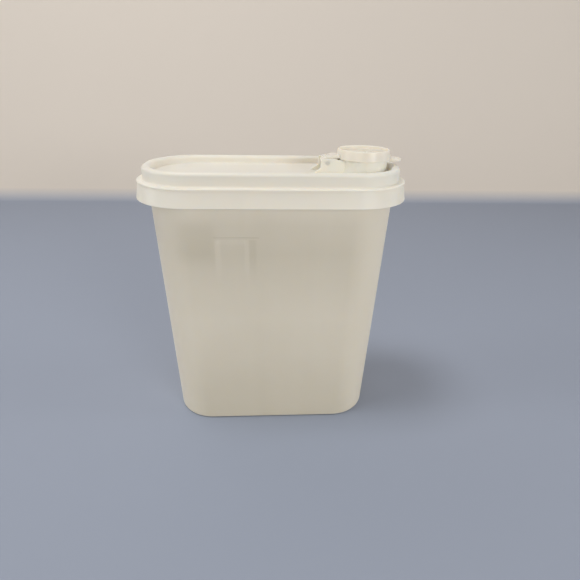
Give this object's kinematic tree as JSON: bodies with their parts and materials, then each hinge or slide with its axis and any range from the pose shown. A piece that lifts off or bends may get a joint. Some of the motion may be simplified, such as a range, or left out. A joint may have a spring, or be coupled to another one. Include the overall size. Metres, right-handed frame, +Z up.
{
  "type": "cereal container with flip spout",
  "caption": "Tall tapered dry-food keeper with rounded ends, a press-fit skirted lid and a hinged round cap over its pouring neck.",
  "frame": {"origin": "centre of the footprint of the whole object, on the surface that the base rests on", "axes": "+Z up, +X towards the pouring end, +Y towards the back; front is -Y"},
  "size_m": [0.2146, 0.0988, 0.2404],
  "materials": {
    "container_plastic": "milky translucent, satin outside",
    "lid_plastic": "milky translucent, soft satin",
    "cap_plastic": "milky translucent, soft satin"
  },
  "bodies": {
    "container": {"container_body": "container_plastic"},
    "lid": {"lid": "lid_plastic"},
    "cap": {"flip_cap": "cap_plastic"}
  },
  "joints": [
    {"name": "lid_lift", "type": "slide", "parent": "container", "child": "lid", "axis": [0, 0, 1], "range_m": [0, 0.04]},
    {"name": "cap_flip", "type": "hinge", "parent": "lid", "child": "cap", "pos_m": [0.04295, 0, 0.2306], "axis": [0, -1, 0], "range_deg": [0, 165]}
  ]
}
